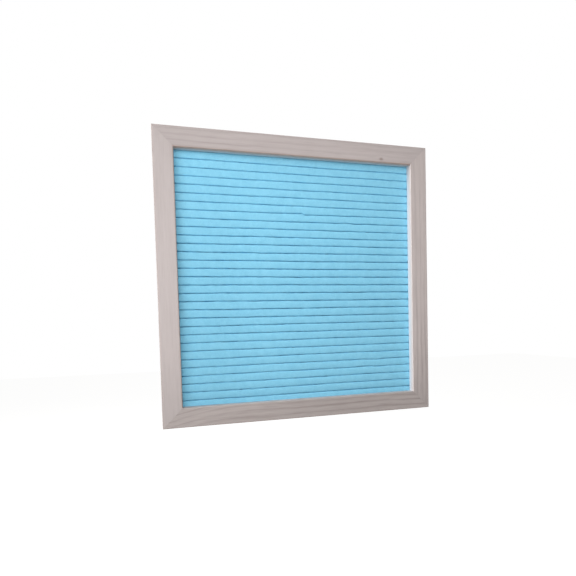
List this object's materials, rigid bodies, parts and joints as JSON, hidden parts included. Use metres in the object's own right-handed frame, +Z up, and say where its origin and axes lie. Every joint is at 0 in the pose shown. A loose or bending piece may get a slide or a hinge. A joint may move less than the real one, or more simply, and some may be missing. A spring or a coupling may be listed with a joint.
{
  "type": "felt letter board",
  "caption": "Square wall-hung letter board: pleated felt panel in a mitred whitewashed pine frame, narrow slits grip letter tabs, sawtooth hanger on the back.",
  "frame": {"origin": "where the board hangs: the roof of the hanger's middle notch, on the plane of the frame's back", "axes": "+Z up, +X to the viewer's right seen from the front, +Y into the wall, so the felt faces -Y"},
  "size_m": [0.254, 0.0206, 0.254],
  "materials": {
    "whitewashed_pine": "matt whitewash over sanded pine, grain showing",
    "blue_felt": "matt fuzzy felt",
    "fibreboard": "sawn fibreboard",
    "hardboard": "smooth hardboard, satin",
    "zinc_steel": "zinc plated, satin"
  },
  "bodies": {
    "root": {"top_rail": "whitewashed_pine", "bottom_rail": "whitewashed_pine", "left_rail": "whitewashed_pine", "right_rail": "whitewashed_pine", "felt_sheet": "blue_felt", "grooved_core": "fibreboard", "backing_board": "hardboard", "point_top_left": "zinc_steel", "point_top_right": "zinc_steel", "point_right_upper": "zinc_steel", "point_right_lower": "zinc_steel", "point_bottom_right": "zinc_steel", "point_bottom_left": "zinc_steel", "point_left_lower": "zinc_steel", "point_left_upper": "zinc_steel", "v_nail_top_right": "zinc_steel", "v_nail_top_left": "zinc_steel", "v_nail_bottom_left": "zinc_steel", "v_nail_bottom_right": "zinc_steel", "sawtooth_hanger": "zinc_steel", "hanger_nail_left": "zinc_steel", "hanger_nail_right": "zinc_steel"}
  },
  "joints": []
}
